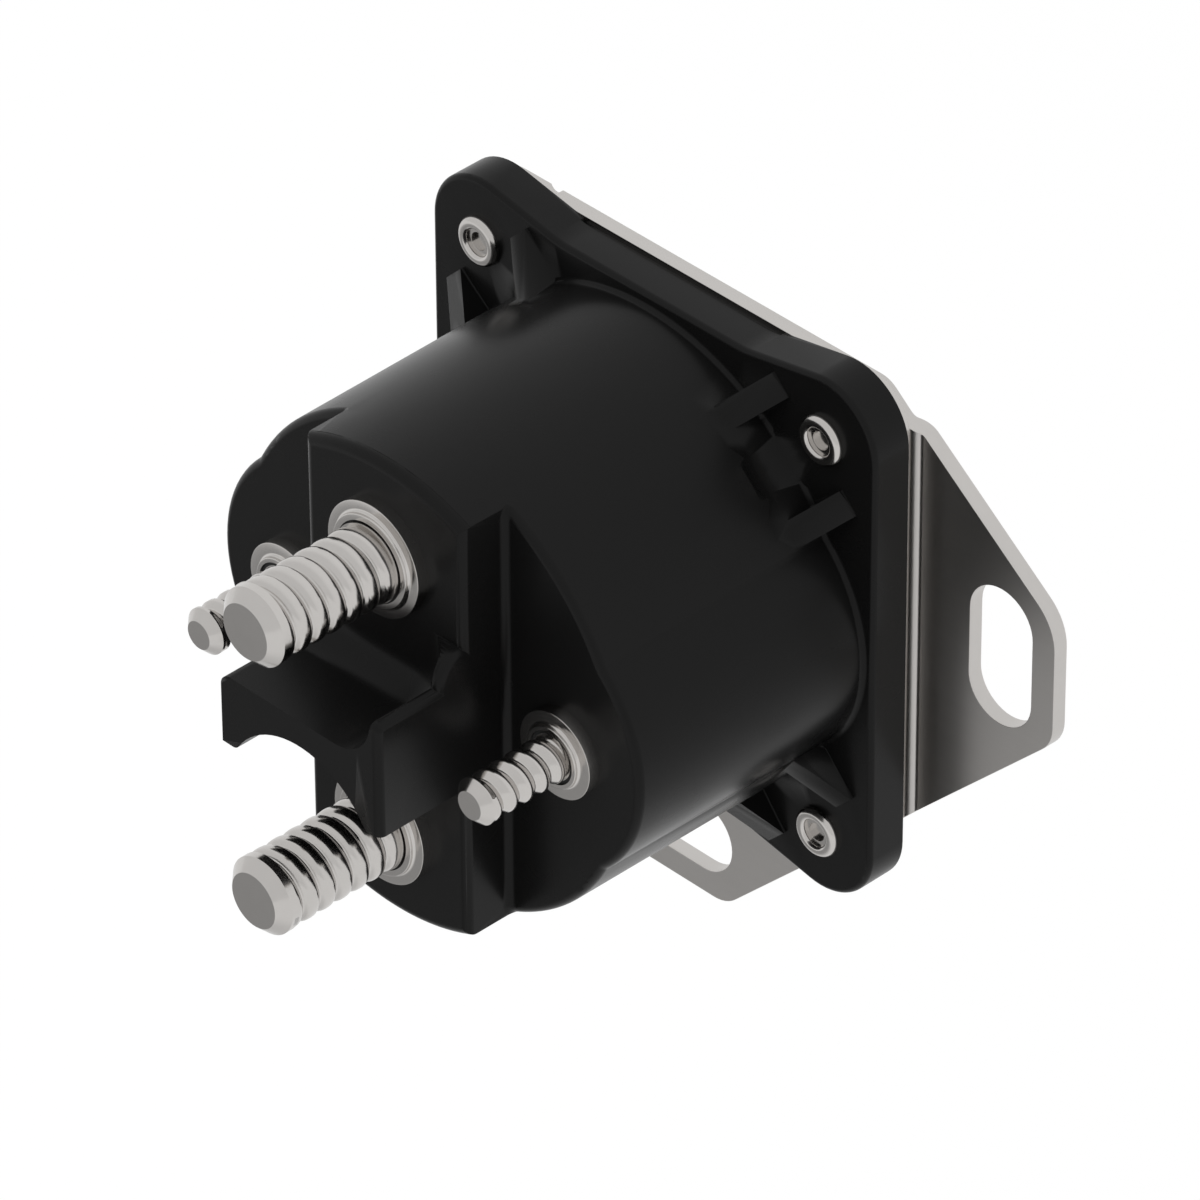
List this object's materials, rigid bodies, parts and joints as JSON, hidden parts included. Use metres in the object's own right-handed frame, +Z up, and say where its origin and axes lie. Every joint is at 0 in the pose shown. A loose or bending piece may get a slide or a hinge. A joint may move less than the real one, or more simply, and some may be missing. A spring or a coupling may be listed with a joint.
{
  "type": "starter relay",
  "caption": "Sealed starter relay with a round moulded housing, threaded terminals either side of a shelf and a steel bracket with slotted ears.",
  "frame": {"origin": "on the relay axis, in the plane of the ears' rear faces, which is the face of the panel it is bolted to", "axes": "+X towards the right ear, -Y out along the terminals, +Z up, with the lower ear pointing along -Z"},
  "size_m": [0.0731, 0.058, 0.0731],
  "materials": {
    "phenolic": "moulded black phenolic with a soft sheen",
    "plated_steel": "bright zinc plating",
    "bracket_steel": "zinc plated pressed sheet",
    "rivet_steel": "plated tubular rivet",
    "gasket_rubber": "flat black gasket",
    "terminal_plating": "plated screw",
    "coil_terminal_plating": "plated screw",
    "collar_plating": "plated washer",
    "seal_rubber": "black sealing sleeve",
    "magnet_iron": "soft iron, plated",
    "bobbin_plastic": "natural nylon",
    "winding_copper": "enamelled copper wire",
    "lead_brass": "tinned strip",
    "rod_steel": "turned steel",
    "spring_steel": "spring wire",
    "contact_copper": "bare copper"
  },
  "bodies": {
    "case": {"housing": "phenolic", "base_plate": "plated_steel", "mounting_bracket": "bracket_steel", "rivet_upper_left": "rivet_steel", "rivet_upper_right": "rivet_steel", "rivet_lower_left": "rivet_steel", "rivet_lower_right": "rivet_steel", "base_gasket": "gasket_rubber", "main_stud_upper": "terminal_plating", "main_stud_lower": "terminal_plating", "coil_stud_left": "coil_terminal_plating", "coil_stud_right": "coil_terminal_plating", "main_collar_upper": "collar_plating", "main_collar_lower": "collar_plating", "coil_collar_left": "collar_plating", "coil_collar_right": "collar_plating", "main_seal_upper": "seal_rubber", "main_seal_lower": "seal_rubber", "coil_seal_left": "seal_rubber", "coil_seal_right": "seal_rubber", "magnet_frame": "magnet_iron", "pole_plate": "magnet_iron", "coil_bobbin": "bobbin_plastic", "coil_winding": "winding_copper", "coil_lead_left": "lead_brass", "coil_lead_right": "lead_brass", "return_spring": "spring_steel", "contact_spring": "spring_steel"},
    "plunger": {"plunger": "magnet_iron", "push_rod": "rod_steel", "retaining_clip": "spring_steel"},
    "contact": {"contact_disc": "contact_copper", "contact_bush": "bobbin_plastic", "contact_washer": "bobbin_plastic"}
  },
  "joints": [
    {"name": "plunger_slide", "type": "slide", "parent": "case", "child": "plunger", "axis": [0, -1, 0], "range_m": [0, 0.003], "stiffness_N_per_m": 590, "springref_m": -0.0023, "deforming": ["return_spring"]},
    {"name": "contact_slide", "type": "slide", "parent": "case", "child": "contact", "axis": [0, -1, 0], "range_m": [0, 0.0021], "deforming": ["contact_spring"]}
  ],
  "couplings": [
    {"joint": "contact_slide", "follows": "plunger_slide", "ratio": 0.7}
  ]
}
